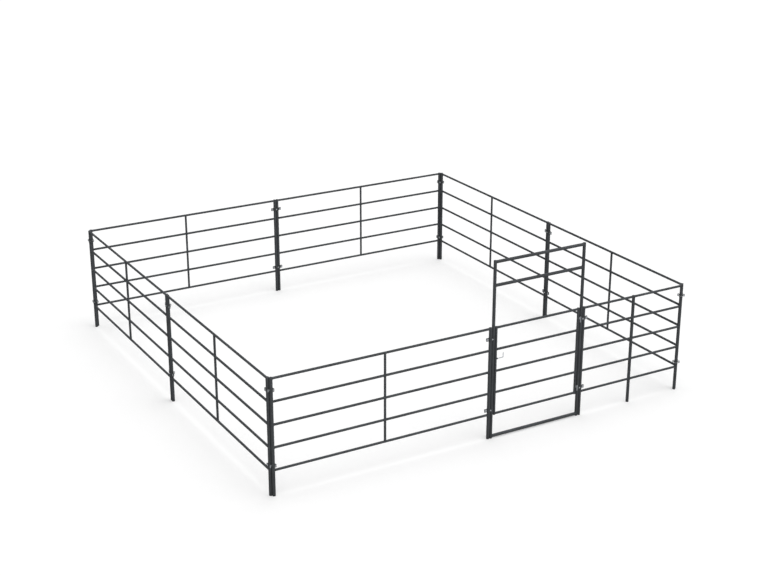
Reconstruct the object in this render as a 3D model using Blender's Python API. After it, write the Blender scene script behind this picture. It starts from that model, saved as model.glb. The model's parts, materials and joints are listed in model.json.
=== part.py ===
"""Square livestock pen: seven five-rail panels, a bow gate with a swinging leaf, and a short side panel.

Metres, +Z up. The origin is on the ground in the middle of the pen, and the gate side faces -Y.
"""

import math

import bmesh
import bpy
from mathutils import Matrix, Vector

# Tube sizes
POST_D = 0.0413
RAIL_D = 0.0310
BRACE_D = 0.0306
STILE_D = 0.0334
BOW_BAR_D = 0.0405
POST_SIDES = 16
RAIL_SIDES = 10

# Panels: ten feet by five feet over the tubes
PANEL_LENGTH = 3.048
PANEL_HEIGHT = 1.524
TOP_RAIL_Z = 1.5077
RAIL_PITCH = 0.2932
RAIL_COUNT = 5
RAIL_Z = [TOP_RAIL_Z - RAIL_PITCH * i for i in range(RAIL_COUNT)]
PANEL_SPAN = PANEL_LENGTH - POST_D

# Two posts stand side by side at every joint
POST_GAP = 0.0006
PAIR_SPACING = POST_D + POST_GAP
CORNER_INSET = PAIR_SPACING / math.sqrt(2)
PEN_SIDE = 2 * CORNER_INSET + 2 * PANEL_SPAN + PAIR_SPACING

# Bow gate frame
BOW_SPAN = 1.3457
BOW_HEIGHT = 2.3974
BOW_TOP_Z = BOW_HEIGHT - POST_D / 2
BOW_SECOND_Z = 2.0705
SILL_Z = 0.0277
BOW_LEFT_T = CORNER_INSET + PANEL_SPAN + PAIR_SPACING
BOW_RIGHT_T = BOW_LEFT_T + BOW_SPAN

# Short side panel between the gate and the front right corner, with a middle leg
SHORT_LEFT_T = BOW_RIGHT_T + PAIR_SPACING
SHORT_SPAN = PEN_SIDE - CORNER_INSET - SHORT_LEFT_T

# Gate leaf
LEAF_GAP = 0.0055
STILE_OFFSET = POST_D / 2 + LEAF_GAP + STILE_D / 2
STILE_PAST_RAIL = 0.0010

# Barrel hinges: one knuckle on the clamp beside the post, one on the leaf, and a pin that stays in the first
HINGE_Z = {"upper": 1.3660, "lower": 0.4070}
HINGE_OUT = 0.0270
KNUCKLE_R = 0.0080
KNUCKLE_HEIGHT = 0.0360
KNUCKLE_GAP = 0.0004
KNUCKLE_LEG_WIDTH = 0.0090
KNUCKLE_LEG_INSET = 0.0030
KNUCKLE_LEG_SHARE = 0.75
KNUCKLE_WELD_INSET = 0.0010
PIN_R = 0.0050
PIN_BORE_R = 0.0054
PIN_HEAD_R = 0.0074
PIN_HEAD_HEIGHT = 0.0040
PIN_CHAMFER = 0.0010

# Slide-bolt latch on the inner side of the leaf's free stile
LATCH_Z = 1.0680
LATCH_IN = 0.0345
LATCH_BOLT_R = 0.0063
LATCH_BORE_R = 0.0068
LATCH_TUBE_R = 0.0105
LATCH_SWING_ROOM = 0.0075
GUIDE_LENGTH = 0.0700
GUIDE_SHIFT = 0.0200
KEEPER_LENGTH = 0.0300
LATCH_BOLT_LENGTH = 0.1600
LATCH_HANDLE_RISE = 0.0650
SADDLE_HEIGHT = 0.0180
SADDLE_HALF_WIDTH = 0.0130
SADDLE_END_INSET = 0.0010
HANDLE_UNDERSIZE = 0.0003

# Stop tab on the bow's latch post
STOP_Z = 0.7700
STOP_HEIGHT = 0.0500
STOP_THICKNESS = 0.0060
STOP_REACH = 0.0300
STOP_ROOM = 0.0010

# Two-piece strap clamps at every joint, long ears where the panels run on, short ones at the corners
CLAMP_Z = {"upper": 1.3680, "lower": 0.4000}
CLAMP_HEIGHT = 0.0440
CLAMP_WALL = 0.0030
CLAMP_ARC_STEPS = 6
LONG_EAR = 0.0400
SHORT_EAR = 0.0180
NO_EAR = 0.0
EAR_FACE = 0.0020
VALLEY_HALF = 0.0092

# The hex-headed jam screw that presses between the two posts
SCREW_R = 0.0032
SCREW_TIP_Y = 0.0115
SCREW_HEAD_R = 0.0080
SCREW_HEAD_HEIGHT = 0.0045
SCREW_HEAD_CHAMFER = 0.0018
SCREW_HEAD_SINK = 0.0005
SCREW_SIDES = 6

# Clearance between pieces that touch, and how far a cutter runs past what it cuts
SEAT = 0.0003
PAST = 0.0100
SHARP_ANGLE = math.radians(40)


def make_material(name, colour, metallic, roughness):
    material = bpy.data.materials.new(name)
    material.use_nodes = True
    shader = material.node_tree.nodes["Principled BSDF"]
    shader.inputs["Base Color"].default_value = (*colour, 1.0)
    shader.inputs["Metallic"].default_value = metallic
    shader.inputs["Roughness"].default_value = roughness
    return material


def clear_scene():
    for thing in list(bpy.data.objects):
        bpy.data.objects.remove(thing, do_unlink=True)


def mesh_from(bm, name):
    """Turns a bmesh into a mesh with outward faces, smooth where it is round."""
    bmesh.ops.recalc_face_normals(bm, faces=bm.faces)
    mesh = bpy.data.meshes.new(name)
    bm.to_mesh(mesh)
    bm.free()
    mesh.shade_smooth()
    mesh.set_sharp_from_angle(angle=SHARP_ANGLE)
    return mesh


def rod(start, end, radius, sides):
    """A closed round bar between two points."""
    start, end = Vector(start), Vector(end)
    along = end - start
    turn = along.to_track_quat("Z", "Y").to_matrix().to_4x4()
    half_step = Matrix.Rotation(math.pi / sides, 4, "Z")
    bm = bmesh.new()
    bmesh.ops.create_cone(bm, cap_ends=True, segments=sides, radius1=radius, radius2=radius,
                          depth=along.length, matrix=Matrix.Translation((start + end) / 2) @ turn @ half_step)
    return mesh_from(bm, "rod")


def block(low, high):
    """A closed box between two corners."""
    low, high = Vector(low), Vector(high)
    stretch = Matrix.Diagonal((*(high - low), 1.0))
    bm = bmesh.new()
    bmesh.ops.create_cube(bm, size=1.0, matrix=Matrix.Translation((low + high) / 2) @ stretch)
    return mesh_from(bm, "block")


def prism(outline, low_z, high_z):
    """A closed upright prism over an outline of (x, y) points."""
    bm = bmesh.new()
    floor = bm.faces.new([bm.verts.new((x, y, low_z)) for x, y in outline])
    raised = bmesh.ops.extrude_face_region(bm, geom=[floor])
    verts = [item for item in raised["geom"] if isinstance(item, bmesh.types.BMVert)]
    bmesh.ops.translate(bm, verts=verts, vec=(0.0, 0.0, high_z - low_z))
    return mesh_from(bm, "prism")


def turned(profile, sides):
    """A solid turned about Z from (radius, z) points that start and end on the axis."""
    bm = bmesh.new()
    rings = []
    for radius, z in profile[1:-1]:
        steps = [2 * math.pi * (i + 0.5) / sides for i in range(sides)]
        rings.append([bm.verts.new((radius * math.cos(a), radius * math.sin(a), z)) for a in steps])
    for lower, upper in zip(rings, rings[1:]):
        for i in range(sides):
            j = (i + 1) % sides
            bm.faces.new((lower[i], lower[j], upper[j], upper[i]))
    bm.faces.new(rings[0])
    bm.faces.new(rings[-1])
    return mesh_from(bm, "turned")


def moved(mesh, matrix):
    mesh.transform(matrix)
    return mesh


def combine(name, base, added=(), removed=()):
    """Joins closed meshes into one body and cuts others from it, and returns the mesh."""
    operands = []
    target = bpy.data.objects.new(name + "_target", base)
    bpy.context.scene.collection.objects.link(target)
    for operation, meshes in (("UNION", added), ("DIFFERENCE", removed)):
        if not meshes:
            continue
        group = bpy.data.collections.new(name + "_" + operation)
        bpy.context.scene.collection.children.link(group)
        for mesh in meshes:
            helper = bpy.data.objects.new(name + "_operand", mesh)
            helper.hide_render = True
            helper.display_type = "WIRE"
            group.objects.link(helper)
            operands.append(helper)
        modifier = target.modifiers.new(operation.lower(), "BOOLEAN")
        modifier.operation = operation
        modifier.operand_type = "COLLECTION"
        modifier.collection = group
        modifier.solver = "EXACT"
    bpy.context.view_layer.update()
    graph = bpy.context.evaluated_depsgraph_get()
    result = bpy.data.meshes.new_from_object(target.evaluated_get(graph))
    result.name = name
    for thing in [target, *operands]:
        bpy.data.objects.remove(thing, do_unlink=True)
    for group in [g for g in bpy.data.collections if g.name.startswith(name + "_")]:
        bpy.data.collections.remove(group)
    result.materials.clear()
    result.shade_smooth()
    result.set_sharp_from_angle(angle=SHARP_ANGLE)
    return result


def place(name, mesh, material, matrix=Matrix.Identity(4), parent=None):
    """Adds one named part at its place in the pen."""
    part = bpy.data.objects.new(name, mesh)
    bpy.context.scene.collection.objects.link(part)
    if not mesh.materials:
        mesh.materials.append(material)
    part.parent = parent
    part.matrix_world = matrix
    return part


def side_matrix(side, along):
    """The frame at a distance along one side: 0 front, 1 right, 2 back, 3 left, with -Y pointing outwards."""
    turn = Matrix.Rotation(math.radians(90 * side), 4, "Z")
    return turn @ Matrix.Translation((-PEN_SIDE / 2 + along, -PEN_SIDE / 2, 0.0))


def panel_mesh(name, span, brace_to_ground):
    """Two posts, five rails and a middle upright, welded into one frame."""
    posts = [rod((x, 0, 0), (x, 0, PANEL_HEIGHT), POST_D / 2, POST_SIDES) for x in (0.0, span)]
    rails = [rod((0, 0, z), (span, 0, z), RAIL_D / 2, RAIL_SIDES) for z in RAIL_Z]
    if brace_to_ground:
        middle = rod((span / 2, 0, 0), (span / 2, 0, PANEL_HEIGHT), POST_D / 2, POST_SIDES)
    else:
        middle = rod((span / 2, 0, RAIL_Z[-1]), (span / 2, 0, RAIL_Z[0]), BRACE_D / 2, RAIL_SIDES)
    return combine(name, posts[0], [posts[1], middle, *rails])


def bow_mesh():
    """The tall gate frame: two posts, a top bar, a second bar below it, and a sill."""
    posts = [rod((x, 0, 0), (x, 0, BOW_HEIGHT), POST_D / 2, POST_SIDES) for x in (0.0, BOW_SPAN)]
    heights = (BOW_TOP_Z, BOW_SECOND_Z, SILL_Z)
    bars = [rod((0, 0, z), (BOW_SPAN, 0, z), BOW_BAR_D / 2, POST_SIDES) for z in heights]
    return combine("bow_frame", posts[0], [posts[1], *bars])


def leaf_mesh():
    """The swinging leaf: two stiles and five rails."""
    low = RAIL_Z[-1] - RAIL_D / 2 - STILE_PAST_RAIL
    high = RAIL_Z[0] + RAIL_D / 2 + STILE_PAST_RAIL
    ends = (STILE_OFFSET, BOW_SPAN - STILE_OFFSET)
    stiles = [rod((x, 0, low), (x, 0, high), STILE_D / 2, POST_SIDES) for x in ends]
    rails = [rod((ends[0], 0, z), (ends[1], 0, z), RAIL_D / 2, RAIL_SIDES) for z in RAIL_Z]
    return combine("gate_leaf", stiles[0], [stiles[1], *rails])


def knuckle_mesh(name, tube_x, hinge_x, low_z, leg_low_z, seat):
    """A hinge barrel with a welded leg towards the upright beside it, cut to the seat that it meets there."""
    high_z = low_z + KNUCKLE_HEIGHT
    barrel = rod((hinge_x, -HINGE_OUT, low_z), (hinge_x, -HINGE_OUT, high_z), KNUCKLE_R, POST_SIDES)
    reach = Vector((tube_x - hinge_x, HINGE_OUT))
    across = reach.orthogonal().normalized() * KNUCKLE_LEG_WIDTH / 2
    start = Vector((hinge_x, -HINGE_OUT))
    end = start + reach * KNUCKLE_LEG_SHARE
    outline = [start - across, end - across, end + across, start + across]
    leg = prism([tuple(point) for point in outline], leg_low_z, high_z - KNUCKLE_LEG_INSET)
    bore = rod((hinge_x, -HINGE_OUT, low_z - PAST), (hinge_x, -HINGE_OUT, high_z + PAST), PIN_BORE_R, POST_SIDES)
    return combine(name, barrel, [leg], [seat, bore])


def pin_mesh():
    """The hinge pin: a round shank with a head that rests on the leaf's knuckle."""
    top = 2 * KNUCKLE_HEIGHT + 2 * KNUCKLE_GAP
    head_top = top + PIN_HEAD_HEIGHT
    profile = [(0, 0), (PIN_R - PIN_CHAMFER, 0), (PIN_R, PIN_CHAMFER), (PIN_R, top), (PIN_HEAD_R, top),
               (PIN_HEAD_R, head_top - PIN_CHAMFER), (PIN_HEAD_R - PIN_CHAMFER, head_top), (0, head_top)]
    return turned(profile, POST_SIDES)


def latch_tube_mesh(name, tube_x, tube_r, low_x, high_x):
    """A short guide tube with a saddle that fits the upright tube behind which it is welded."""
    shell = rod((low_x, LATCH_IN, LATCH_Z), (high_x, LATCH_IN, LATCH_Z), LATCH_TUBE_R, POST_SIDES)
    saddle_low_x = max(low_x + SADDLE_END_INSET, tube_x - SADDLE_HALF_WIDTH)
    saddle_high_x = min(high_x - SADDLE_END_INSET, tube_x + SADDLE_HALF_WIDTH)
    saddle = block((saddle_low_x, 0.0, LATCH_Z - SADDLE_HEIGHT / 2),
                   (saddle_high_x, LATCH_IN, LATCH_Z + SADDLE_HEIGHT / 2))
    low_z, high_z = LATCH_Z - SADDLE_HEIGHT, LATCH_Z + SADDLE_HEIGHT
    upright = rod((tube_x, 0, low_z), (tube_x, 0, high_z), tube_r + SEAT, POST_SIDES)
    bore = rod((low_x - PAST, LATCH_IN, LATCH_Z), (high_x + PAST, LATCH_IN, LATCH_Z), LATCH_BORE_R, POST_SIDES)
    return combine(name, shell, [saddle], [upright, bore])


def latch_bolt_mesh():
    """The sliding bolt, along +X from its tip, with an upright handle at its far end."""
    shank = rod((0, 0, 0), (LATCH_BOLT_LENGTH, 0, 0), LATCH_BOLT_R, POST_SIDES)
    handle_x = LATCH_BOLT_LENGTH - LATCH_BOLT_R
    handle_r = LATCH_BOLT_R - HANDLE_UNDERSIZE
    handle = rod((handle_x, 0, 0), (handle_x, 0, LATCH_HANDLE_RISE), handle_r, POST_SIDES)
    return combine("latch_bolt", shank, [handle])


def valley_y(thickness):
    """How far a layer of the clamp crosses over the seam between the posts, out from the pen's plane."""
    radius = POST_D / 2 + SEAT
    return math.sqrt(radius ** 2 - (PAIR_SPACING / 2 - VALLEY_HALF) ** 2) + thickness


def band_arc(thickness, eared):
    """Plan of one layer of a clamp half round the right-hand post, from its ear or end to the valley."""
    radius = POST_D / 2 + SEAT + thickness
    end_y = EAR_FACE + thickness if eared else SEAT / 2
    low = math.asin(end_y / radius)
    high = math.pi - math.asin(valley_y(thickness) / radius)
    step = (high - low) / CLAMP_ARC_STEPS
    corner_r = radius / math.cos(step / 2)
    turns = [low + step * i for i in range(CLAMP_ARC_STEPS + 1)]
    return [(PAIR_SPACING / 2 + corner_r * math.cos(a), corner_r * math.sin(a)) for a in turns]


def clamp_outline(left_ear, right_ear):
    """Plan of one clamp half over two posts, on the +Y side, as (x, y) points."""
    layers = []
    for thickness in (CLAMP_WALL, 0.0):
        face = EAR_FACE + thickness
        sides = []
        for ear in (right_ear, left_ear):
            arc = band_arc(thickness, eared=ear > 0)
            if ear > 0:
                arc = [(PAIR_SPACING / 2 + POST_D / 2 + ear, face), (arc[0][0], face)] + arc[1:]
            sides.append(arc)
        layers.append(sides[0] + [(-x, y) for x, y in reversed(sides[1])])
    return layers[0] + layers[1][::-1]


def jam_screw_mesh():
    """A hex-headed screw along +Y from outside, through the valley of the outer half to the seam."""
    seat = -valley_y(CLAMP_WALL)
    head_top = seat - SCREW_HEAD_HEIGHT
    profile = [(0, head_top), (SCREW_HEAD_R - SCREW_HEAD_CHAMFER, head_top),
               (SCREW_HEAD_R, head_top + SCREW_HEAD_CHAMFER), (SCREW_HEAD_R, seat + SCREW_HEAD_SINK),
               (SCREW_R, seat + SCREW_HEAD_SINK), (SCREW_R, -SCREW_TIP_Y), (0, -SCREW_TIP_Y)]
    return moved(turned(profile, SCREW_SIDES), Matrix.Rotation(math.radians(-90), 4, "X"))


def clamp_meshes(name, left_ear, right_ear):
    """The outer half with its jam screw, and the plain inner half."""
    half = CLAMP_HEIGHT / 2
    inner_plan = clamp_outline(left_ear, right_ear)
    outer_plan = [(x, -y) for x, y in inner_plan]
    outer = combine(name + "_outer", prism(outer_plan, -half, half), [jam_screw_mesh()])
    return outer, prism(inner_plan, -half, half)


def hinge_clamp_seat(low_z, high_z):
    """A cutter in the shape of the gate clamp's outer half round the bow's right post, in the bow's frame."""
    middle = BOW_SPAN + PAIR_SPACING / 2
    plan = [(middle - x, -y) for x, y in band_arc(CLAMP_WALL + SEAT, eared=False)]
    plan += [(plan[-1][0], PAST), (plan[0][0], PAST)]
    return prism(plan, low_z - PAST, high_z + PAST)


def joint_places():
    """Every panel joint as its name, its place and turn, and the clamp shape that fits there."""
    middle = CORNER_INSET + PANEL_SPAN + PAIR_SPACING / 2
    gate_right = BOW_RIGHT_T + PAIR_SPACING / 2
    places = [("gate_left", side_matrix(0, middle), "left_ear"),
              ("gate_right", side_matrix(0, gate_right), "right_ear")]
    for side, name in enumerate(("right", "back", "left"), start=1):
        places.append((name + "_middle", side_matrix(side, middle), "long_ears"))
    for side, name in enumerate(("front_left", "front_right", "back_right", "back_left")):
        shift = Matrix.Translation((CORNER_INSET / 2, CORNER_INSET / 2, 0.0))
        turn = Matrix.Rotation(math.radians(-45), 4, "Z")
        places.append((name + "_corner", side_matrix(side, 0.0) @ shift @ turn, "short_ears"))
    return places


def build():
    clear_scene()
    coat = make_material("charcoal_powder_coat", (0.074, 0.077, 0.078), 0.0, 0.75)
    clamp_coat = make_material("charcoal_coated_pressed_steel", (0.074, 0.077, 0.078), 0.0, 0.75)
    hinge_zinc = make_material("dull_galvanised_zinc", (0.32, 0.33, 0.34), 0.6, 0.60)
    zinc = make_material("bright_zinc_plate", (0.55, 0.56, 0.57), 1.0, 0.35)

    # Seven full panels
    panel = panel_mesh("panel", PANEL_SPAN, brace_to_ground=False)
    first, second = CORNER_INSET, CORNER_INSET + PANEL_SPAN + PAIR_SPACING
    place("front_panel", panel, coat, side_matrix(0, first))
    for side, name in enumerate(("right", "back", "left"), start=1):
        place(name + "_panel_1", panel, coat, side_matrix(side, first))
        place(name + "_panel_2", panel, coat, side_matrix(side, second))

    # Bow gate frame and the short panel beside it
    place("bow_frame", bow_mesh(), coat, side_matrix(0, BOW_LEFT_T))
    place("short_panel", panel_mesh("short_panel", SHORT_SPAN, brace_to_ground=True), coat,
          side_matrix(0, SHORT_LEFT_T))

    # The leaf turns about an empty on the hinge axis
    bow = side_matrix(0, BOW_LEFT_T)
    hinge_x = BOW_SPAN - POST_D / 2 - LEAF_GAP / 2
    axis = bpy.data.objects.new("gate_hinge_axis", None)
    bpy.context.scene.collection.objects.link(axis)
    axis.matrix_world = bow @ Matrix.Translation((hinge_x, -HINGE_OUT, 0.0))
    bpy.context.view_layer.update()
    place("gate_leaf", leaf_mesh(), coat, bow, axis)

    # Hinges
    stile_x = BOW_SPAN - STILE_OFFSET
    for name, z in HINGE_Z.items():
        low = z - KNUCKLE_HEIGHT
        post_leg_low = CLAMP_Z[name] - CLAMP_HEIGHT / 2 + KNUCKLE_WELD_INSET
        post_knuckle = knuckle_mesh("hinge_post_knuckle", BOW_SPAN, hinge_x, low, post_leg_low,
                                    hinge_clamp_seat(low, z))
        leaf_low = z + KNUCKLE_GAP
        leaf_high = leaf_low + KNUCKLE_HEIGHT
        stile_seat = rod((stile_x, 0, z), (stile_x, 0, leaf_high), STILE_D / 2 + SEAT, POST_SIDES)
        leaf_knuckle = knuckle_mesh("hinge_leaf_knuckle", stile_x, hinge_x, leaf_low, leaf_low + KNUCKLE_LEG_INSET,
                                    stile_seat)
        place("hinge_post_knuckle_" + name, post_knuckle, hinge_zinc, bow)
        place("hinge_leaf_knuckle_" + name, leaf_knuckle, hinge_zinc, bow, axis)
        place("hinge_pin_" + name, pin_mesh(), zinc, bow @ Matrix.Translation((hinge_x, -HINGE_OUT, low)))

    # Latch and stop
    guide_low = STILE_OFFSET - GUIDE_LENGTH / 2 + GUIDE_SHIFT
    guide = latch_tube_mesh("latch_guide", STILE_OFFSET, STILE_D / 2, guide_low, guide_low + GUIDE_LENGTH)
    place("latch_guide", guide, coat, bow, axis)
    keeper = latch_tube_mesh("latch_keeper", 0.0, POST_D / 2, -KEEPER_LENGTH / 2, KEEPER_LENGTH / 2)
    place("latch_keeper", keeper, coat, bow)
    tip_x = POST_D / 2 + LATCH_SWING_ROOM
    place("latch_bolt", latch_bolt_mesh(), zinc, bow @ Matrix.Translation((tip_x, LATCH_IN, LATCH_Z)), axis)
    stop_y = STILE_D / 2 + STOP_ROOM
    stop_top = STOP_Z + STOP_HEIGHT
    stop_tab = block((0.0, stop_y, STOP_Z), (STOP_REACH + POST_D / 2, stop_y + STOP_THICKNESS, stop_top))
    post_cut = rod((0, 0, STOP_Z - PAST), (0, 0, stop_top + PAST), POST_D / 2 + SEAT, POST_SIDES)
    place("gate_stop", combine("gate_stop", stop_tab, (), [post_cut]), coat, bow)

    # Clamps
    shapes = {"long_ears": (LONG_EAR, LONG_EAR), "short_ears": (SHORT_EAR, SHORT_EAR),
              "left_ear": (LONG_EAR, NO_EAR), "right_ear": (NO_EAR, LONG_EAR)}
    meshes = {shape: clamp_meshes("clamp_" + shape, *ears) for shape, ears in shapes.items()}
    for name, matrix, shape in joint_places():
        for level, z in CLAMP_Z.items():
            lifted = matrix @ Matrix.Translation((0.0, 0.0, z))
            outer, inner = meshes[shape]
            place("clamp_" + name + "_" + level + "_outer", outer, clamp_coat, lifted)
            place("clamp_" + name + "_" + level + "_inner", inner, clamp_coat, lifted)


build()
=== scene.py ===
"""Looks of the square livestock pen: coated tube frames, welds, clamps, hinges, latch, light and camera."""

import json
import math

import bmesh
import bpy
from mathutils import Matrix, Vector


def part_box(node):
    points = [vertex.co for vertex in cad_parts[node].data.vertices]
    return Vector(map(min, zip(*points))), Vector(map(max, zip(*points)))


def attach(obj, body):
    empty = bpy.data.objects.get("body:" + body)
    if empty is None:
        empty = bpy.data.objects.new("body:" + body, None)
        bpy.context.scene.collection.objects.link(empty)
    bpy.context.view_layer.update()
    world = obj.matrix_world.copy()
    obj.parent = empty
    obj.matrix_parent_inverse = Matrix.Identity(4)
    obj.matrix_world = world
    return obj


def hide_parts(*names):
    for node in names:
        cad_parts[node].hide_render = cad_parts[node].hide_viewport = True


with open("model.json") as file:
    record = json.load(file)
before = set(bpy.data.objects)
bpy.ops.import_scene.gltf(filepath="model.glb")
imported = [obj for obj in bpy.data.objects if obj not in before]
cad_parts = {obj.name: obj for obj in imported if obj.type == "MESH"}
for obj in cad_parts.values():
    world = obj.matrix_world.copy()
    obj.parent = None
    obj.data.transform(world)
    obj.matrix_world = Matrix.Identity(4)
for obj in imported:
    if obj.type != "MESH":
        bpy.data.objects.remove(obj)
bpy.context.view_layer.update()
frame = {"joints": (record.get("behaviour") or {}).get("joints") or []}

# Tube sizes in metres
POST_R = 0.0413 / 2
RAIL_R = 0.0310 / 2
BRACE_R = 0.0306 / 2
STILE_R = 0.0334 / 2
BOW_BAR_R = 0.0405 / 2
POST_SIDES = 40
RAIL_SIDES = 32
END_ROUND = 0.0022

# The CAD's posts and latch bolt are prisms whose flats face the axes; a flat is FLAT times the radius out
CAD_SIDES = 16
FLAT = math.cos(math.pi / CAD_SIDES)

# Heights
PANEL_HEIGHT = 1.524
TOP_RAIL_Z = 1.5077
RAIL_PITCH = 0.2932
RAIL_COUNT = 5
RAIL_Z = [TOP_RAIL_Z - RAIL_PITCH * i for i in range(RAIL_COUNT)]
BOW_SECOND_Z = 2.0705
SILL_Z = 0.0277

# Weld beads, and how far a welded leg or saddle is buried in its seat
BEAD_R = 0.0026
BEAD_STEPS = 36
BEAD_SIDES = 6
RIPPLES = 12
RIPPLE_DEPTH = 0.14
FILLET_R = BEAD_R * 0.8
WELD_SIDES = 10
WELD_END = 0.0012
WELD_INSET = 0.0005
BURIED = 0.0010

# Strap clamps, two halves at each place; an ear's length is counted from its post's outer side
PAIR_SPACING = 0.0419
SEAT = 0.0003
CLAMP_HEIGHT = 0.0440
CLAMP_WALL = 0.0030
CLAMP_STEPS = 14
CLAMP_EDGE = 0.0007
CLAMP_EDGE_STEPS = 2
LONG_EAR = 0.0400
SHORT_EAR = 0.0180
NO_EAR = 0.0
EAR_FACE = 0.0020
EAR_CORNER = 0.0060
EAR_CORNER_STEPS = 5
LONG_BOLT_SHARE = 0.58
SHORT_BOLT_SHARE = 0.48
VALLEY_HALF = 0.0092
SEAM_BEAD_R = 0.0011
SEAM_SIDES = 12
SEAM_STEPS = 40
SEAM_RIPPLE_STEPS = 4

# Jam screws, their loops, and the ear bolts with plate washers; a plate is given by half its width and height
SCREW_R = 0.0032
SCREW_SIDES = 20
SCREW_TIP_Y = 0.0115
SCREW_HEAD_R = 0.0080
SCREW_HEAD_HEIGHT = 0.0045
LOOP_OUT = 0.0385
LOOP_HALF_WIDTH = 0.0080
LOOP_HALF_HEIGHT = 0.0150
LOOP_WIRE_R = 0.0050
LOOP_STEPS = 32
LOOP_SIDES = 12
SHORT_BOLT_SIZE = 0.70
BOLT_R = 0.0040
BOLT_TAIL = 0.0060
HEX_SIDES = 6
HEX_R = 0.0075
HEX_STRAIGHT = 0.75
HEX_CHAMFER = 0.16
HEAD_HEIGHT = 0.0053
NUT_HEIGHT = 0.0065
LONG_PLATE = (0.0130, 0.0165)
SHORT_PLATE = (0.0052, 0.0150)
PLATE_THICKNESS = 0.0010
PLATE_CORNER = 0.0030
PLATE_CORNER_STEPS = 4
THREAD_PITCH = 0.0013
THREAD_DEPTH = 0.0004

# Screws and bolts are turned about Z and then laid along Y, their heads on the -Y side
ALONG_Y = Matrix.Rotation(math.radians(-90), 4, "X")
HEAD_ALONG_Y = Matrix.Rotation(math.radians(90), 4, "X")

# Hinges; a leg starts just outside the pin's bore
KNUCKLE_R = 0.0080
KNUCKLE_HEIGHT = 0.0360
KNUCKLE_GAP = 0.0004
BARREL_EDGE = 0.0008
LEG_WIDTH = 0.0090
LEG_INSET = 0.0030
LEG_START = 0.0012
LEG_RISE = 0.0010
PIN_R = 0.0050
PIN_BORE_R = 0.0054
PIN_HEAD_R = 0.0074
PIN_HEAD_HEIGHT = 0.0040
PIN_CHAMFER = 0.0010
DOME_RIM = 0.3
DOME_TURNS = (0.0, 0.35, 0.7, 1.05, 1.4)
HINGE_OUT = 0.0270

# Latch and stop
LATCH_IN = 0.0345
LATCH_BOLT_R = 0.0063
LATCH_BORE_R = 0.0068
LATCH_TUBE_R = 0.0105
ROD_SIDES = 24
ROD_CHAMFER = 0.0012
HANDLE_BEND = 0.0120
HANDLE_STEPS = 8
SADDLE_HALF_HEIGHT = 0.0090
SADDLE_HALF_WIDTH = 0.0130
SADDLE_EDGE = 0.0010
STOP_CORNER = 0.0080
STOP_CORNER_STEPS = 6
STOP_ARC_STEPS = 8

# Edges that turn by more than SHARP stay crisp; softened ones are evenly round
SHARP = math.radians(38)
EVENLY_ROUND = 0.5

# Powder coat: dust lies in long films, and the orange peel has its real size and shows only close up.
# The gloss really varies over a few millimetres, too fine to show, so it is drawn as coarse as GLOSS_MM.
MM_PER_METRE = 1000.0
DUST_MM = 180
DUST_DETAIL = 5.0
DUST_ROUGHNESS = 0.6
DUST_STARTS = 0.42
DUST_IS_FULL = 0.72
GLOSS_MM = 22
GLOSS_DETAIL = 3.0
SMOOTHER = 0.05
ROUGHER = 0.07
PEEL_MM = 1.6
PEEL_DETAIL = 2.0
PEEL_DEPTH = 0.0002
PEEL_STRENGTH = 0.25
COAT_IOR = 1.5
COAT_SPECULAR = 0.02

# Zinc's clouds have their real size; the floor is plain
CLOUD_DETAIL = 4.0
FLOOR_GREY = "#CBCBCB"
FLOOR_ROUGHNESS = 0.9
WHITE = (1, 1, 1, 1)

# The photo's camera: a fitted place, turn and lens, in the pen's own frame
CAMERA_PLACE = (-9.5153, -16.9890, 8.3985)
CAMERA_TURN = (69.299, 0.0, -29.793)
LENS = 68.92
SENSOR = 36.0
VIEW_END = 400.0

# Light: a pale dome, strongest overhead and a little to the right, and a floor just under the feet
DOME_HIGH = 2.30
DOME_LOW = 0.16
DOME_FALL = 2.0
DOME_LEAN = (0.26, -0.15, 0.954)
SHOWN_WHITE = 1.0
FLOOR_LIFT = 0.30
FLOOR_SIZE = 400.0
FLOOR_DROP = 0.0004


def linear(code):
    """An sRGB hex colour as linear RGBA."""
    parts = [int(code[i:i + 2], 16) / 255 for i in (1, 3, 5)]
    return (*[c / 12.92 if c <= 0.04045 else ((c + 0.055) / 1.055) ** 2.4 for c in parts], 1.0)


def per_mm(size_mm):
    """A texture scale whose features are this many millimetres wide."""
    return MM_PER_METRE / size_mm


def add_node(tree, kind, settings=(), links=()):
    """Adds a node, sets its sockets or properties, and links sources to its sockets, by name or number."""
    node = tree.nodes.new(kind)
    for name, value in dict(settings).items():
        if isinstance(name, int) or name in node.inputs:
            node.inputs[name].default_value = value
        else:
            setattr(node, name, value)
    for name, source in dict(links).items():
        tree.links.new(source, node.inputs[name])
    return node


def seen_ray(tree):
    """1 for the rays that show a surface: straight, mirrored or through glass."""
    ray = add_node(tree, "ShaderNodeLightPath")
    seen = add_node(tree, "ShaderNodeMath", {"operation": "MAXIMUM"},
                    {0: ray.outputs["Is Camera Ray"], 1: ray.outputs["Is Glossy Ray"]})
    shown = add_node(tree, "ShaderNodeMath", {"operation": "MAXIMUM"},
                     {0: seen.outputs[0], 1: ray.outputs["Is Transmission Ray"]})
    return shown.outputs[0]


def new_material(name):
    """A material with its node tree and its shader."""
    material = bpy.data.materials.new(name)
    material.use_nodes = True
    tree = material.node_tree
    return material, tree, tree.nodes["Principled BSDF"]


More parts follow.
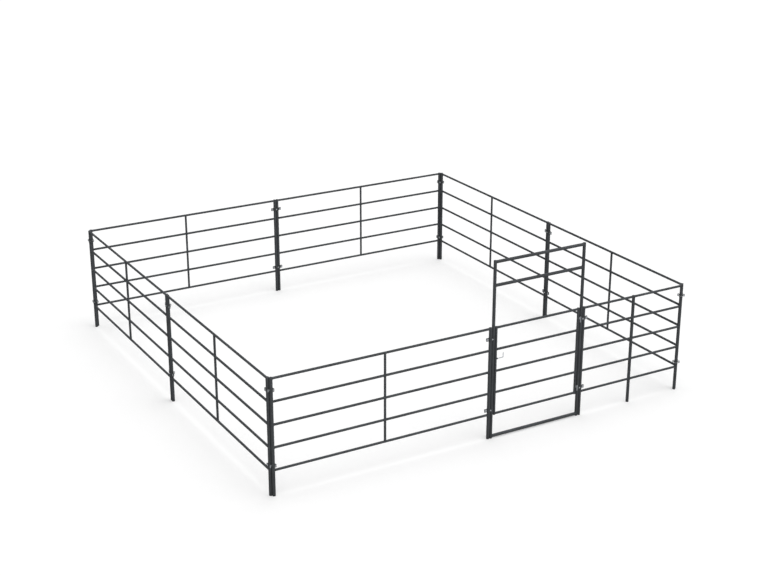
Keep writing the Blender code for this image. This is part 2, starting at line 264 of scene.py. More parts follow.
def powder_coat(name, colour, dusty, matt):
    """Matt powder coat on steel: an even dark grey, hardly a highlight, fine orange peel, a film of dust."""
    material, tree, shader = new_material(name)
    place = add_node(tree, "ShaderNodeTexCoord").outputs["Object"]
    film = add_node(tree, "ShaderNodeTexNoise",
                    {"Scale": per_mm(DUST_MM), "Detail": DUST_DETAIL, "Roughness": DUST_ROUGHNESS},
                    {"Vector": place})
    streak = add_node(tree, "ShaderNodeMapRange", {"From Min": DUST_STARTS, "From Max": DUST_IS_FULL},
                      {"Value": film.outputs["Fac"]})
    tint = add_node(tree, "ShaderNodeMix", {"data_type": "RGBA", 6: linear(colour), 7: linear(dusty)},
                    {0: streak.outputs["Result"]})
    tree.links.new(tint.outputs[2], shader.inputs["Base Color"])
    speckle = add_node(tree, "ShaderNodeTexNoise", {"Scale": per_mm(GLOSS_MM), "Detail": GLOSS_DETAIL},
                       {"Vector": place})
    gloss = add_node(tree, "ShaderNodeMapRange", {"To Min": matt - SMOOTHER, "To Max": matt + ROUGHER},
                     {"Value": speckle.outputs["Fac"]})
    tree.links.new(gloss.outputs["Result"], shader.inputs["Roughness"])
    peel = add_node(tree, "ShaderNodeTexNoise", {"Scale": per_mm(PEEL_MM), "Detail": PEEL_DETAIL},
                    {"Vector": place})
    bump = add_node(tree, "ShaderNodeBump", {"Strength": PEEL_STRENGTH, "Distance": PEEL_DEPTH},
                    {"Height": peel.outputs["Fac"]})
    tree.links.new(bump.outputs["Normal"], shader.inputs["Normal"])
    shader.inputs["IOR"].default_value = COAT_IOR
    shader.inputs["Specular IOR Level"].default_value = COAT_SPECULAR
    return material


def zinc_metal(name, colour, shade, cloud_mm, smooth, rough):
    """Zinc on steel: a cool grey metal, clouded by the plating's bloom or the dipped coat's spangle."""
    material, tree, shader = new_material(name)
    place = add_node(tree, "ShaderNodeTexCoord").outputs["Object"]
    clouds = add_node(tree, "ShaderNodeTexNoise", {"Scale": per_mm(cloud_mm), "Detail": CLOUD_DETAIL},
                      {"Vector": place})
    tint = add_node(tree, "ShaderNodeMix", {"data_type": "RGBA", 6: linear(shade), 7: linear(colour)},
                    {0: clouds.outputs["Fac"]})
    tree.links.new(tint.outputs[2], shader.inputs["Base Color"])
    gloss = add_node(tree, "ShaderNodeMapRange", {"To Min": smooth, "To Max": rough},
                     {"Value": clouds.outputs["Fac"]})
    tree.links.new(gloss.outputs["Result"], shader.inputs["Roughness"])
    shader.inputs["Metallic"].default_value = 1.0
    return material


def floor_paint(name):
    """A matt pale grey studio floor that takes the pen's shadow and is lifted to white where it is seen."""
    material, tree, shader = new_material(name)
    shader.inputs["Base Color"].default_value = linear(FLOOR_GREY)
    shader.inputs["Roughness"].default_value = FLOOR_ROUGHNESS
    shader.inputs["Specular IOR Level"].default_value = 0.0
    shader.inputs["Emission Color"].default_value = WHITE
    lift = add_node(tree, "ShaderNodeMath", {"operation": "MULTIPLY", 1: FLOOR_LIFT}, {0: seen_ray(tree)})
    tree.links.new(lift.outputs[0], shader.inputs["Emission Strength"])
    return material


def finish_mesh(bm, name):
    """The mesh with its normals outward, smooth but for its crisp edges."""
    bmesh.ops.recalc_face_normals(bm, faces=bm.faces)
    mesh = bpy.data.meshes.new(name)
    bm.to_mesh(mesh)
    bm.free()
    mesh.shade_smooth()
    mesh.set_sharp_from_angle(angle=SHARP)
    return mesh


def add_piece(name, mesh, material, matrix, body, replaced=()):
    """Adds a piece with its finish, parents it to its body's empty, and hides the nodes it stands for."""
    piece = bpy.data.objects.new(name, mesh)
    bpy.context.scene.collection.objects.link(piece)
    if not mesh.materials:
        mesh.materials.append(material)
    piece.matrix_world = matrix
    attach(piece, body)
    if replaced:
        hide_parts(*replaced)
    return piece


def aim(direction):
    """A turn that takes +Z to a direction."""
    return Vector(direction).normalized().to_track_quat("Z", "Y").to_matrix().to_4x4()


def full_turn(steps):
    """The angles of a whole turn in equal steps."""
    return [2 * math.pi * i / steps for i in range(steps)]


def join_rings(bm, rings, closed=False):
    """Skins rings of points; closed joins the last ring to the first, otherwise both ends are capped."""
    count = len(rings[0])
    pairs = list(zip(rings, rings[1:]))
    if closed:
        pairs.append((rings[-1], rings[0]))
    for low, high in pairs:
        for k in range(count):
            m = (k + 1) % count
            bm.faces.new((low[k], low[m], high[m], high[k]))
    if not closed:
        bm.faces.new(rings[0])
        bm.faces.new(rings[-1])


def round_edges(bm, edges, size, steps):
    """Rounds the edges, if there are any."""
    if edges:
        bmesh.ops.bevel(bm, geom=edges, offset=size, segments=steps, profile=EVENLY_ROUND, affect="EDGES")


def add_plate(bm, outline, low_z, high_z):
    """An upright plate over an (x, y) outline, as a closed shell."""
    join_rings(bm, [[bm.verts.new((x, y, z)) for x, y in outline] for z in (low_z, high_z)])


def add_turned(bm, profile, sides, matrix):
    """Turns (radius, height) points about Z; a profile that ends off the axis is closed into a ring."""
    solid = profile[0][0] == 0
    rings = []
    for radius, z in profile:
        if radius == 0:
            rings.append([bm.verts.new(matrix @ Vector((0, 0, z)))])
            continue
        rings.append([bm.verts.new(matrix @ Vector((radius * math.cos(a), radius * math.sin(a), z)))
                      for a in full_turn(sides)])
    pairs = list(zip(rings, rings[1:]))
    if not solid:
        pairs.append((rings[-1], rings[0]))
    for low, high in pairs:
        for i in range(sides):
            j = (i + 1) % sides
            corners = [low[i % len(low)], low[j % len(low)], high[j % len(high)], high[i % len(high)]]
            bm.faces.new(list(dict.fromkeys(corners)))


def add_bar(bm, start, end, radius, sides, end_round=END_ROUND):
    """A round bar with softened ends."""
    start, end = Vector(start), Vector(end)
    length = (end - start).length
    arc = [(radius - end_round * (1 - math.sin(a)), end_round * (1 - math.cos(a)))
           for a in (0.0, math.pi / 6, math.pi / 3, math.pi / 2)]
    profile = [(0, 0)] + arc + [(r, length - z) for r, z in reversed(arc)] + [(0, length)]
    add_turned(bm, profile, sides, Matrix.Translation(start) @ aim(end - start))


def add_bead(bm, centre, branch, through, through_r, branch_r):
    """A rippled weld bead where a branch tube's side meets a through tube."""
    branch, through = Vector(branch).normalized(), Vector(through).normalized()
    side = through.cross(branch)
    path = []
    for a in full_turn(BEAD_STEPS):
        across, along = branch_r * math.sin(a), branch_r * math.cos(a)
        out = math.sqrt(max(through_r ** 2 - across ** 2, 0.0))
        path.append(Vector(centre) + branch * out + side * across + through * along)
    rings = []
    for i, point in enumerate(path):
        tangent = (path[(i + 1) % BEAD_STEPS] - path[i - 1]).normalized()
        radius = BEAD_R * (1 + RIPPLE_DEPTH * math.cos(2 * math.pi * RIPPLES * i / BEAD_STEPS))
        away = (branch - tangent * branch.dot(tangent)).normalized()
        level = tangent.cross(away)
        rings.append([bm.verts.new(point + radius * (away * math.cos(b) + level * math.sin(b)))
                      for b in full_turn(BEAD_SIDES)])
    join_rings(bm, rings, closed=True)


def add_weld_run(bm, x, y, low_z, high_z, radius):
    """An upright run of weld."""
    add_bar(bm, (x, y, low_z), (x, y, high_z), radius, WELD_SIDES, WELD_END)


def add_rails(bm, start_x, end_x, heights, end_r):
    """Rails between two uprights, with a bead at each end."""
    for z in heights:
        add_bar(bm, (start_x, 0, z), (end_x, 0, z), RAIL_R, RAIL_SIDES)
        add_bead(bm, (start_x, 0, z), (1, 0, 0), (0, 0, 1), end_r, RAIL_R)
        add_bead(bm, (end_x, 0, z), (-1, 0, 0), (0, 0, 1), end_r, RAIL_R)


def panel_mesh(name, span, has_leg):
    """A welded panel from its first post's centre-line at x = 0 to its second's at x = span."""
    bm = bmesh.new()
    for x in (0.0, span):
        add_bar(bm, (x, 0, 0), (x, 0, PANEL_HEIGHT), POST_R, POST_SIDES)
    add_rails(bm, 0.0, span, RAIL_Z, POST_R)
    middle = span / 2
    if has_leg:
        add_bar(bm, (middle, 0, 0), (middle, 0, PANEL_HEIGHT), POST_R, POST_SIDES)
        for z in RAIL_Z:
            for way in (1, -1):
                add_bead(bm, (middle, 0, z), (way, 0, 0), (0, 0, 1), POST_R, RAIL_R)
    else:
        add_bar(bm, (middle, 0, RAIL_Z[-1]), (middle, 0, RAIL_Z[0]), BRACE_R, RAIL_SIDES)
        for z in RAIL_Z[1:]:
            add_bead(bm, (middle, 0, z), (0, 0, 1), (1, 0, 0), RAIL_R, BRACE_R)
        for z in RAIL_Z[:-1]:
            add_bead(bm, (middle, 0, z), (0, 0, -1), (1, 0, 0), RAIL_R, BRACE_R)
    return finish_mesh(bm, name)


def bow_mesh(span, height):
    """The tall gate frame."""
    bm = bmesh.new()
    for x in (0.0, span):
        add_bar(bm, (x, 0, 0), (x, 0, height), POST_R, POST_SIDES)
    for z in (height - POST_R, BOW_SECOND_Z, SILL_Z):
        add_bar(bm, (0, 0, z), (span, 0, z), BOW_BAR_R, POST_SIDES)
        add_bead(bm, (0, 0, z), (1, 0, 0), (0, 0, 1), POST_R, BOW_BAR_R)
        add_bead(bm, (span, 0, z), (-1, 0, 0), (0, 0, 1), POST_R, BOW_BAR_R)
    # The topmost beads are ground flush with the posts' tops
    for vert in bm.verts:
        vert.co.z = min(vert.co.z, height)
    return finish_mesh(bm, "bow_frame_tubes")


def leaf_mesh(span, low, high):
    """The swinging leaf, from stile centre-line to stile centre-line."""
    bm = bmesh.new()
    for x in (0.0, span):
        add_bar(bm, (x, 0, low), (x, 0, high), STILE_R, POST_SIDES)
    add_rails(bm, 0.0, span, RAIL_Z, STILE_R)
    return finish_mesh(bm, "gate_leaf_tubes")


def end_posts(node):
    """The centre-lines of a frame's two end posts, from its box."""
    low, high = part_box(node)
    start = Vector((low[0] + POST_R * FLAT, low[1] + POST_R * FLAT, 0.0))
    end = Vector((high[0] - POST_R * FLAT, high[1] - POST_R * FLAT, 0.0))
    return start, end


def frame_place(start, end):
    """The frame whose +X runs from one post to the other."""
    along = (end - start).normalized()
    return Matrix.Translation(start) @ Matrix.Rotation(math.atan2(along.y, along.x), 4, "Z")


def valley_y(thickness):
    """How far a layer of the clamp crosses over the seam between the posts, out from the posts' plane."""
    return math.sqrt((POST_R + SEAT) ** 2 - (PAIR_SPACING / 2 - VALLEY_HALF) ** 2) + thickness


def clamp_plan(left_ear, right_ear):
    """Plan of one clamp half on the +Y side, with its arcs just clear of the posts."""
    centre = PAIR_SPACING / 2
    layers = []
    for thickness in (CLAMP_WALL, 0.0):
        radius = POST_R + SEAT + thickness
        high = math.pi - math.asin(valley_y(thickness) / radius)
        sides = []
        for ear in (right_ear, left_ear):
            face = EAR_FACE + thickness if ear else SEAT / 2
            low = math.asin(face / radius)
            turns = [low + (high - low) * i / CLAMP_STEPS for i in range(CLAMP_STEPS + 1)]
            arc = [(centre + radius * math.cos(a), radius * math.sin(a)) for a in turns]
            if ear:
                arc.insert(0, (centre + POST_R + ear, face))
            sides.append(arc)
        layers.append(sides[0] + [(-x, y) for x, y in reversed(sides[1])])
    return layers[0] + layers[1][::-1]


def clamp_half_mesh(name, left_ear, right_ear, side):
    """A pressed steel clamp half with softened edges; side is 1 for the inner half, -1 for the outer."""
    bm = bmesh.new()
    plan = clamp_plan(left_ear, right_ear)
    floor = bm.faces.new([bm.verts.new((x, side * y, -CLAMP_HEIGHT / 2)) for x, y in plan])
    raised = bmesh.ops.extrude_face_region(bm, geom=[floor])
    verts = [item for item in raised["geom"] if isinstance(item, bmesh.types.BMVert)]
    bmesh.ops.translate(bm, verts=verts, vec=(0, 0, CLAMP_HEIGHT))
    tips = []
    for ear, way in ((left_ear, -1), (right_ear, 1)):
        tip_x = way * (PAIR_SPACING / 2 + POST_R + ear)
        tips += [edge for edge in bm.edges if ear and all(abs(v.co.x - tip_x) < SEAT for v in edge.verts)
                 and abs(edge.verts[0].co.y - edge.verts[1].co.y) > CLAMP_WALL / 2]
    round_edges(bm, tips, EAR_CORNER, EAR_CORNER_STEPS)
    rims = [edge for edge in bm.edges if len(edge.link_faces) == 2
            and abs(edge.verts[0].co.z - edge.verts[1].co.z) < CLAMP_EDGE
            and abs(abs(edge.verts[0].co.z) - CLAMP_HEIGHT / 2) < CLAMP_EDGE
            and edge.calc_face_angle() > SHARP]
    round_edges(bm, rims, CLAMP_EDGE, CLAMP_EDGE_STEPS)
    return finish_mesh(bm, name)


def seam_bead_mesh():
    """The rippled upright weld that joins the two halves where they have no ear."""
    bm = bmesh.new()
    height = CLAMP_HEIGHT - 4 * CLAMP_EDGE
    profile = [(0, -height / 2)]
    for i in range(SEAM_STEPS + 1):
        ripple = 1 + RIPPLE_DEPTH * math.cos(2 * math.pi * i / SEAM_RIPPLE_STEPS)
        profile.append((SEAM_BEAD_R * ripple, -height / 2 + height * i / SEAM_STEPS))
    add_turned(bm, profile + [(0, height / 2)], SEAM_SIDES, Matrix.Identity(4))
    return finish_mesh(bm, "clamp_seam_bead")


def add_hex(bm, radius, low, high, matrix):
    """A hexagon head or nut whose corners are chamfered at the far end."""
    levels = [(radius, low), (radius, low + HEX_STRAIGHT * (high - low)), (radius * (1 - HEX_CHAMFER), high)]
    join_rings(bm, [[bm.verts.new(matrix @ Vector((r * math.cos(a), r * math.sin(a), z)))
                     for a in full_turn(HEX_SIDES)] for r, z in levels])


def threaded(radius, start, thread_start, tail):
    """Profile points of a shank, plain from its start and then threaded to its chamfered tail."""
    points = [(radius, start)]
    z = thread_start
    while z < tail - THREAD_PITCH:
        points += [(radius - THREAD_DEPTH, z), (radius, z + THREAD_PITCH / 2)]
        z += THREAD_PITCH
    return points + [(radius - 2 * THREAD_DEPTH, tail), (0, tail)]


def jam_screw_mesh():
    """The hex-headed screw that presses between the two posts, with a threaded tip."""
    seat = valley_y(CLAMP_WALL)
    bm = bmesh.new()
    add_hex(bm, SCREW_HEAD_R, seat, seat + SCREW_HEAD_HEIGHT, HEAD_ALONG_Y)
    profile = [(0, -seat)] + threaded(SCREW_R, -seat, -seat + CLAMP_WALL, -SCREW_TIP_Y)
    add_turned(bm, profile, SCREW_SIDES, ALONG_Y)
    return finish_mesh(bm, "clamp_jam_screw_hex")


def loop_mesh():
    """A forged loop on a short neck, welded on a jam screw's head as its handle."""
    bm = bmesh.new()
    neck_start = -valley_y(CLAMP_WALL) - SCREW_HEAD_HEIGHT / 2
    add_bar(bm, (0, neck_start, 0), (0, -LOOP_OUT + LOOP_HALF_WIDTH, 0), LOOP_WIRE_R, LOOP_SIDES, WELD_END)
    rings = []
    across = Vector((1, 0, 0))
    for a in full_turn(LOOP_STEPS):
        point = Vector((0, -LOOP_OUT + LOOP_HALF_WIDTH * math.cos(a), LOOP_HALF_HEIGHT * math.sin(a)))
        along = Vector((0, -LOOP_HALF_WIDTH * math.sin(a), LOOP_HALF_HEIGHT * math.cos(a))).normalized()
        out = along.cross(across)
        rings.append([bm.verts.new(point + LOOP_WIRE_R * (out * math.cos(b) + across * math.sin(b)))
                      for b in full_turn(LOOP_SIDES)])
    join_rings(bm, rings, closed=True)
    return finish_mesh(bm, "clamp_screw_loop")


def bolt_mesh(name, grip, size, plate):
    """A hex bolt along +Y with its nut and threaded tail, and a plate washer on each ear."""
    bm = bmesh.new()
    bolt_r, hex_r = BOLT_R * size, HEX_R * size
    half_width, half_height = plate
    outline = [(way_x * half_width, way_z * half_height)
               for way_x, way_z in ((-1, -1), (1, -1), (1, 1), (-1, 1))]
    for low in (-grip - PLATE_THICKNESS, grip):
        add_plate(bm, outline, low, low + PLATE_THICKNESS)
    edges = [edge for edge in bm.edges if abs(edge.verts[0].co.z - edge.verts[1].co.z) > PLATE_THICKNESS / 2]
    round_edges(bm, edges, PLATE_CORNER, PLATE_CORNER_STEPS)
    bmesh.ops.transform(bm, verts=bm.verts, matrix=ALONG_Y)
    base = grip + PLATE_THICKNESS
    nut_top = base + NUT_HEIGHT * size
    add_hex(bm, hex_r, base, base + HEAD_HEIGHT * size, HEAD_ALONG_Y)
    add_hex(bm, hex_r, base, nut_top, ALONG_Y)
    profile = [(0, -base), (bolt_r, -base)]
    profile += threaded(bolt_r, nut_top - THREAD_PITCH, nut_top - THREAD_PITCH / 2,
                        nut_top + BOLT_TAIL * size)
    add_turned(bm, profile, SCREW_SIDES, ALONG_Y)
    return finish_mesh(bm, name)


def barrel_profile(bore_r, outer_r, low, high):
    """Profile of a short tube with softened outer rims."""
    return [(bore_r, low), (outer_r - BARREL_EDGE, low), (outer_r, low + BARREL_EDGE),
            (outer_r, high - BARREL_EDGE), (outer_r - BARREL_EDGE, high), (bore_r, high)]


def knuckle_mesh(name, hinge, tube, seat_r, low_z, leg_low, leg_high):
    """A hinge barrel with its welded leg, reaching to the round seat beside it."""
    bm = bmesh.new()
    profile = barrel_profile(PIN_BORE_R, KNUCKLE_R, low_z, low_z + KNUCKLE_HEIGHT)
    add_turned(bm, profile, POST_SIDES, Matrix.Translation((hinge.x, hinge.y, 0)))
    out = (tube - hinge).to_2d().normalized()
    across = Vector((-out.y, out.x)) * LEG_WIDTH / 2
    start = hinge.to_2d() + out * (PIN_BORE_R + LEG_START)
    end = tube.to_2d() - out * (seat_r - BURIED)
    corners = [start - across, end - across, end + across, start + across]
    add_plate(bm, [tuple(c) for c in corners], leg_low, leg_high)
    foot = tube.to_2d() - out * seat_r
    for way in (1, -1):
        spot = foot + across * way
        add_weld_run(bm, spot.x, spot.y, leg_low + WELD_INSET, leg_high - WELD_INSET, FILLET_R)
    return finish_mesh(bm, name)


def pin_mesh(low_z):
    """A hinge pin with a domed head."""
    top = low_z + 2 * KNUCKLE_HEIGHT + 2 * KNUCKLE_GAP
    dome = [(PIN_HEAD_R * math.cos(a), top + PIN_HEAD_HEIGHT * (DOME_RIM + (1 - DOME_RIM) * math.sin(a)))
            for a in DOME_TURNS]
    profile = [(0, low_z), (PIN_R - PIN_CHAMFER, low_z), (PIN_R, low_z + PIN_CHAMFER), (PIN_R, top),
               (PIN_HEAD_R, top)]
    bm = bmesh.new()
    add_turned(bm, profile + dome + [(0, top + PIN_HEAD_HEIGHT)], POST_SIDES, Matrix.Identity(4))
    return finish_mesh(bm, "hinge_pin_turned")


def latch_tube_mesh(name, low_x, high_x, axis_y, axis_z, tube, tube_r):
    """A guide tube along X and the saddle that joins it to the upright before it."""
    bm = bmesh.new()
    profile = barrel_profile(LATCH_BORE_R, LATCH_TUBE_R, 0, high_x - low_x)
    add_turned(bm, profile, RAIL_SIDES, Matrix.Translation((low_x, axis_y, axis_z)) @ aim((1, 0, 0)))
    near = max(low_x + SADDLE_EDGE, tube.x - SADDLE_HALF_WIDTH)
    far = min(high_x - SADDLE_EDGE, tube.x + SADDLE_HALF_WIDTH)
    back = axis_y - LATCH_BORE_R - BURIED
    front = tube.y + math.sqrt(tube_r ** 2 - SADDLE_HALF_WIDTH ** 2) - BURIED
    low_z, high_z = axis_z - SADDLE_HALF_HEIGHT, axis_z + SADDLE_HALF_HEIGHT
    add_plate(bm, [(near, front), (far, front), (far, back), (near, back)], low_z, high_z)
    for x in (near, far):
        add_weld_run(bm, x, tube.y + math.sqrt(tube_r ** 2 - (x - tube.x) ** 2), low_z, high_z, BEAD_R)
    return finish_mesh(bm, name)


def stop_mesh(low, high, post):
    """The closed gate's stop: a flat tab with rounded free corners, welded upright against the post."""
    seat = POST_R + SEAT
    near_y, far_y = low[1] - post.y, high[1] - post.y
    tip_x, end_x = high[0] - post.x, low[0] - post.x
    first = math.asin(near_y / seat)
    arc = [first + (math.pi / 2 - first) * i / STOP_ARC_STEPS for i in range(STOP_ARC_STEPS + 1)]
    outline = [(end_x, far_y), (tip_x, far_y), (tip_x, near_y)]
    outline += [(seat * math.cos(a), seat * math.sin(a)) for a in arc]
    bm = bmesh.new()
    add_plate(bm, outline, low[2], high[2])
    tips = [edge for edge in bm.edges if all(abs(v.co.x - tip_x) < SEAT for v in edge.verts)
            and abs(edge.verts[0].co.z - edge.verts[1].co.z) < SEAT]
    round_edges(bm, tips, STOP_CORNER, STOP_CORNER_STEPS)
    for x, y in ((end_x, (seat + far_y) / 2), (seat * math.cos(first), near_y)):
        add_weld_run(bm, x, y, low[2] + BEAD_R, high[2] - BEAD_R, FILLET_R)
    return finish_mesh(bm, "gate_stop_tab")


def latch_bolt_mesh(low, high, axis_z):
    """The sliding bolt: a rod bent up at its far end into a handle."""
    centre_y = (low[1] + high[1]) / 2
    handle_x = high[0] - LATCH_BOLT_R
    path = [Vector((low[0], centre_y, axis_z))]
    bend = Vector((handle_x - HANDLE_BEND, centre_y, axis_z + HANDLE_BEND))
    for i in range(HANDLE_STEPS + 1):
        a = -math.pi / 2 + math.pi / 2 * i / HANDLE_STEPS
        path.append(bend + Vector((HANDLE_BEND * math.cos(a), 0, HANDLE_BEND * math.sin(a))))
    path.append(Vector((handle_x, centre_y, high[2])))
    bm = bmesh.new()
    rings = []
    level, upright, side = Vector((1, 0, 0)), Vector((0, 0, 1)), Vector((0, 1, 0))
    narrow = LATCH_BOLT_R - ROD_CHAMFER
    stations = [(path[0], level, narrow), (path[0] + level * ROD_CHAMFER, level, LATCH_BOLT_R)]
    stations += [(point, None, LATCH_BOLT_R) for point in path[1:-1]]
    stations += [(path[-1] - upright * ROD_CHAMFER, upright, LATCH_BOLT_R), (path[-1], upright, narrow)]
    for i, (point, along, radius) in enumerate(stations):
        if along is None:
            along = (stations[i + 1][0] - stations[i - 1][0]).normalized()
        up = along.cross(side)
        rings.append([bm.verts.new(point + radius * (side * math.cos(a) + up * math.sin(a)))
                      for a in full_turn(ROD_SIDES)])
    join_rings(bm, rings)
    return finish_mesh(bm, "latch_bolt_bent_rod")


def build_frames(coat):
    """The welded tube frames, each standing for its CAD node."""
    full = ["front_panel"] + [f"{side}_panel_{n}" for side in ("right", "back", "left") for n in (1, 2)]
    start, end = end_posts("front_panel")
    shared = panel_mesh("panel_tubes", (end - start).length, has_leg=False)
    for node in full:
        add_piece(node + "_tubes", shared, coat, frame_place(*end_posts(node)), "pen", [node])
    start, end = end_posts("short_panel")
    short = panel_mesh("short_panel_tubes", (end - start).length, has_leg=True)
    add_piece("short_panel_tubes", short, coat, frame_place(start, end), "pen", ["short_panel"])
    start, end = end_posts("bow_frame")
    bow = bow_mesh((end - start).length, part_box("bow_frame")[1][2])
    add_piece("bow_frame_tubes", bow, coat, frame_place(start, end), "pen", ["bow_frame"])
    low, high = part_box("gate_leaf")
    stile_face = (high[1] - low[1]) / 2
    leaf = leaf_mesh(high[0] - low[0] - 2 * stile_face, low[2], high[2])
    place = Matrix.Translation((low[0] + stile_face, (low[1] + high[1]) / 2, 0))
    add_piece("gate_leaf_tubes", leaf, coat, place, "gate", ["gate_leaf"])


def nearest_posts(first, second):
    """The two posts, one of each frame, that stand side by side."""
    pairs = [(a, b) for a in end_posts(first) for b in end_posts(second)]
    return min(pairs, key=lambda pair: (pair[1] - pair[0]).length)


def build_clamps(coat, dull_zinc, worn_zinc, bright_zinc):
    """Two pressed halves with their screws and bolts, at both heights of every joint round the pen."""
    joints = [
        ("gate_left", "front_panel", "bow_frame"),
        ("gate_right", "bow_frame", "short_panel"),
        ("front_right_corner", "short_panel", "right_panel_1"),
        ("right_middle", "right_panel_1", "right_panel_2"),
        ("back_right_corner", "right_panel_2", "back_panel_1"),
        ("back_middle", "back_panel_1", "back_panel_2"),
        ("back_left_corner", "back_panel_2", "left_panel_1"),
        ("left_middle", "left_panel_1", "left_panel_2"),
        ("front_left_corner", "left_panel_2", "front_panel"),
    ]
    gate_ears = {"gate_left": (LONG_EAR, NO_EAR), "gate_right": (NO_EAR, LONG_EAR)}
    ear_out = EAR_FACE + CLAMP_WALL
    screw, loop = jam_screw_mesh(), loop_mesh()
    bolts = {LONG_EAR: bolt_mesh("clamp_long_ear_bolt", ear_out, 1.0, LONG_PLATE),
             SHORT_EAR: bolt_mesh("clamp_short_ear_bolt", ear_out, SHORT_BOLT_SIZE, SHORT_PLATE)}
    bolt_out = {LONG_EAR: LONG_EAR * LONG_BOLT_SHARE, SHORT_EAR: SHORT_EAR * SHORT_BOLT_SHARE}
    bead = seam_bead_mesh()
    halves = {}
    for joint, first, second in joints:
        at_corner = joint.endswith("corner")
        plain = SHORT_EAR if at_corner else LONG_EAR
        ears = gate_ears.get(joint, (plain, plain))
        # Loops stand where stubs show across the posts: both halves at a corner, and inside the left middle
        looped = ("outer", "inner") if at_corner else ("inner",) if joint == "left_middle" else ()
        a, b = nearest_posts(first, second)
        place = frame_place(a, b)
        place.translation = (a + b) / 2
        for level in ("upper", "lower"):
            name = f"clamp_{joint}_{level}"
            low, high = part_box(name + "_inner")
            lifted = Matrix.Translation((0, 0, (low[2] + high[2]) / 2)) @ place
            for side, half in ((-1, "outer"), (1, "inner")):
                key = (*ears, side)
                if key not in halves:
                    halves[key] = clamp_half_mesh("clamp_half", *ears, side)
                add_piece(f"{name}_{half}_strap", halves[key], coat, lifted, "pen",
                          [f"{name}_{half}"])
                faced = lifted @ Matrix.Rotation(math.pi if half == "inner" else 0.0, 4, "Z")
                add_piece(f"{name}_{half}_jam_screw", screw, bright_zinc, faced, "pen")
                if half in looped:
                    add_piece(f"{name}_{half}_loop", loop, dull_zinc, faced, "pen")
            for ear, way, word in ((ears[0], -1, "left"), (ears[1], 1, "right")):
                past_post = bolt_out[ear] if ear else SEAT + CLAMP_WALL
                shifted = lifted @ Matrix.Translation((way * (PAIR_SPACING / 2 + POST_R + past_post), 0, 0))
                if ear:
                    add_piece(f"{name}_{word}_bolt", bolts[ear], worn_zinc, shifted, "pen")
                else:
                    add_piece(f"{name}_{word}_seam", bead, coat, shifted, "pen")


def build_gate_fittings(coat, dull_zinc, bright_zinc):
    """Hinges, latch and stop."""
    bow_left, bow_right = end_posts("bow_frame")
    leaf_low, leaf_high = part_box("gate_leaf")
    stile_face = (leaf_high[1] - leaf_low[1]) / 2
    stile_right = Vector((leaf_high[0] - stile_face, bow_right.y, 0))
    stile_left = Vector((leaf_low[0] + stile_face, bow_left.y, 0))
    swing = next(joint for joint in frame["joints"] if joint["name"] == "gate_swing")
    hinge = Vector((swing["pos_m"][0], bow_right.y - HINGE_OUT, 0))
    band_r = POST_R + SEAT + CLAMP_WALL
    for level in ("upper", "lower"):
        post_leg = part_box(f"clamp_gate_right_{level}_outer")[0][2] + LEG_RISE
        leaf_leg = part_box(f"hinge_leaf_knuckle_{level}")[0][2] + LEG_INSET
        for part, body, seat, seat_r, leg_low in (("post", "pen", bow_right, band_r, post_leg),
                                                  ("leaf", "gate", stile_right, STILE_R, leaf_leg)):
            node = f"hinge_{part}_knuckle_{level}"
            low_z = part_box(node)[0][2]
            barrel = knuckle_mesh(f"hinge_{part}_barrel", hinge, seat, seat_r, low_z, leg_low,
                                  low_z + KNUCKLE_HEIGHT - LEG_INSET)
            add_piece(f"hinge_{part}_barrel_{level}", barrel, dull_zinc, Matrix.Identity(4), body,
                      [node])
        pin = pin_mesh(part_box(f"hinge_pin_{level}")[0][2])
        add_piece(f"hinge_pin_{level}_turned", pin, bright_zinc, Matrix.Translation(hinge), "pen",
                  [f"hinge_pin_{level}"])
    bolt_low, bolt_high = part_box("latch_bolt")
    axis_z = bolt_low[2] + LATCH_BOLT_R * FLAT
    axis_y = bow_left.y + LATCH_IN
    for node, body, tube, tube_r in (("latch_guide", "gate", stile_left, STILE_R),
                                     ("latch_keeper", "pen", bow_left, POST_R)):
        low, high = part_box(node)
        mesh = latch_tube_mesh(node + "_tube", low[0], high[0], axis_y, axis_z, tube, tube_r)
        add_piece(node + "_tube", mesh, coat, Matrix.Identity(4), body, [node])
    bolt = latch_bolt_mesh(bolt_low, bolt_high, axis_z)
    add_piece("latch_bolt_rod", bolt, bright_zinc, Matrix.Identity(4), "latch", ["latch_bolt"])
    stop = stop_mesh(*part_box("gate_stop"), bow_left)
    add_piece("gate_stop_tab", stop, coat, Matrix.Translation(bow_left), "pen", ["gate_stop"])


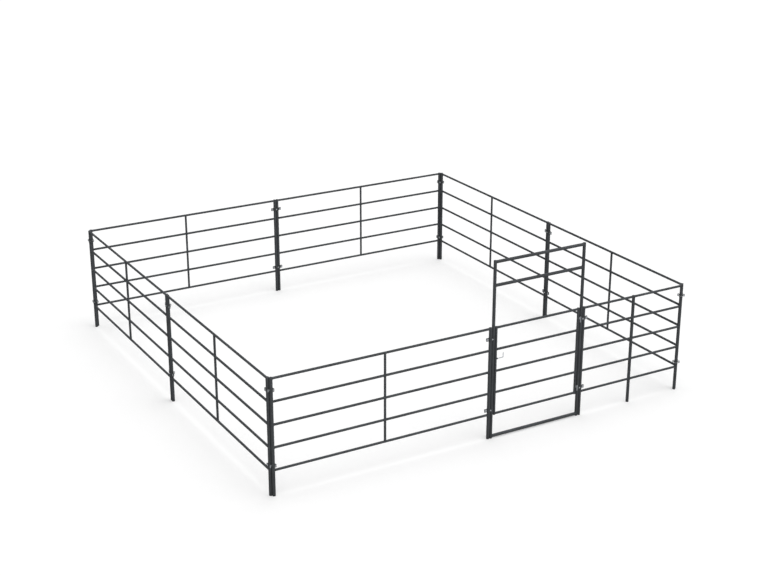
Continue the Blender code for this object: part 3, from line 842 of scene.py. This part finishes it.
def build_stage():
    """A wide pale floor under a white surround whose light comes mostly from overhead."""
    bm = bmesh.new()
    bmesh.ops.create_grid(bm, x_segments=1, y_segments=1, size=FLOOR_SIZE / 2)
    mesh = bpy.data.meshes.new("floor")
    bm.to_mesh(mesh)
    bm.free()
    floor = bpy.data.objects.new("floor", mesh)
    floor.location.z = -FLOOR_DROP
    mesh.materials.append(floor_paint("pale_studio_floor"))
    bpy.context.scene.collection.objects.link(floor)
    world = bpy.data.worlds.new("overhead_light_dome")
    bpy.context.scene.world = world
    world.use_nodes = True
    tree = world.node_tree
    background = tree.nodes["Background"]
    direction = add_node(tree, "ShaderNodeTexCoord").outputs["Generated"]
    height = add_node(tree, "ShaderNodeVectorMath", {"operation": "DOT_PRODUCT", 1: DOME_LEAN},
                      {0: direction})
    above = add_node(tree, "ShaderNodeMath", {"operation": "MAXIMUM", 1: 0.0}, {0: height.outputs["Value"]})
    fall = add_node(tree, "ShaderNodeMath", {"operation": "POWER", 1: DOME_FALL}, {0: above.outputs[0]})
    dome = add_node(tree, "ShaderNodeMath", {"operation": "MULTIPLY_ADD", 1: DOME_HIGH, 2: DOME_LOW},
                    {0: fall.outputs[0]})
    level = add_node(tree, "ShaderNodeMix", {"data_type": "FLOAT", 3: SHOWN_WHITE},
                     {0: seen_ray(tree), 2: dome.outputs[0]})
    background.inputs["Color"].default_value = WHITE
    tree.links.new(level.outputs[0], background.inputs["Strength"])


def build_camera():
    """The camera at the photo's place."""
    camera = bpy.data.cameras.new("photo_camera")
    camera.sensor_width = SENSOR
    camera.lens = LENS
    camera.clip_end = VIEW_END
    holder = bpy.data.objects.new("photo_camera", camera)
    holder.location = CAMERA_PLACE
    holder.rotation_euler = [math.radians(a) for a in CAMERA_TURN]
    bpy.context.scene.collection.objects.link(holder)
    bpy.context.scene.camera = holder


bpy.context.scene.view_settings.view_transform = "Standard"
build_camera()
# The tubes' coat reads as a flat charcoal, and the clamps' as a shade darker
frame_coat = powder_coat("charcoal_matt_powder_coated_steel", "#484A4C", "#505356", matt=0.80)
clamp_coat = powder_coat("charcoal_matt_powder_coated_pressed_steel", "#464849", "#505356", matt=0.78)
# Hinge barrels and loops: soft mid-grey streaks
dull_zinc = zinc_metal("dull_hot_dipped_zinc", "#979A9D", "#828589", cloud_mm=9, smooth=0.48, rough=0.62)
# Ear bolts and washers: light grey spots with a soft shine
worn_zinc = zinc_metal("weathered_zinc_plated_steel", "#B2B5B8", "#9B9EA2",
                       cloud_mm=7, smooth=0.38, rough=0.54)
# Jam screws, hinge pins and the latch bolt: the brightest spots
bright_zinc = zinc_metal("bright_zinc_plated_steel", "#D2D5D8", "#B4B8BC",
                         cloud_mm=6, smooth=0.28, rough=0.46)
build_frames(frame_coat)
build_clamps(clamp_coat, dull_zinc, worn_zinc, bright_zinc)
build_gate_fittings(frame_coat, dull_zinc, bright_zinc)
build_stage()
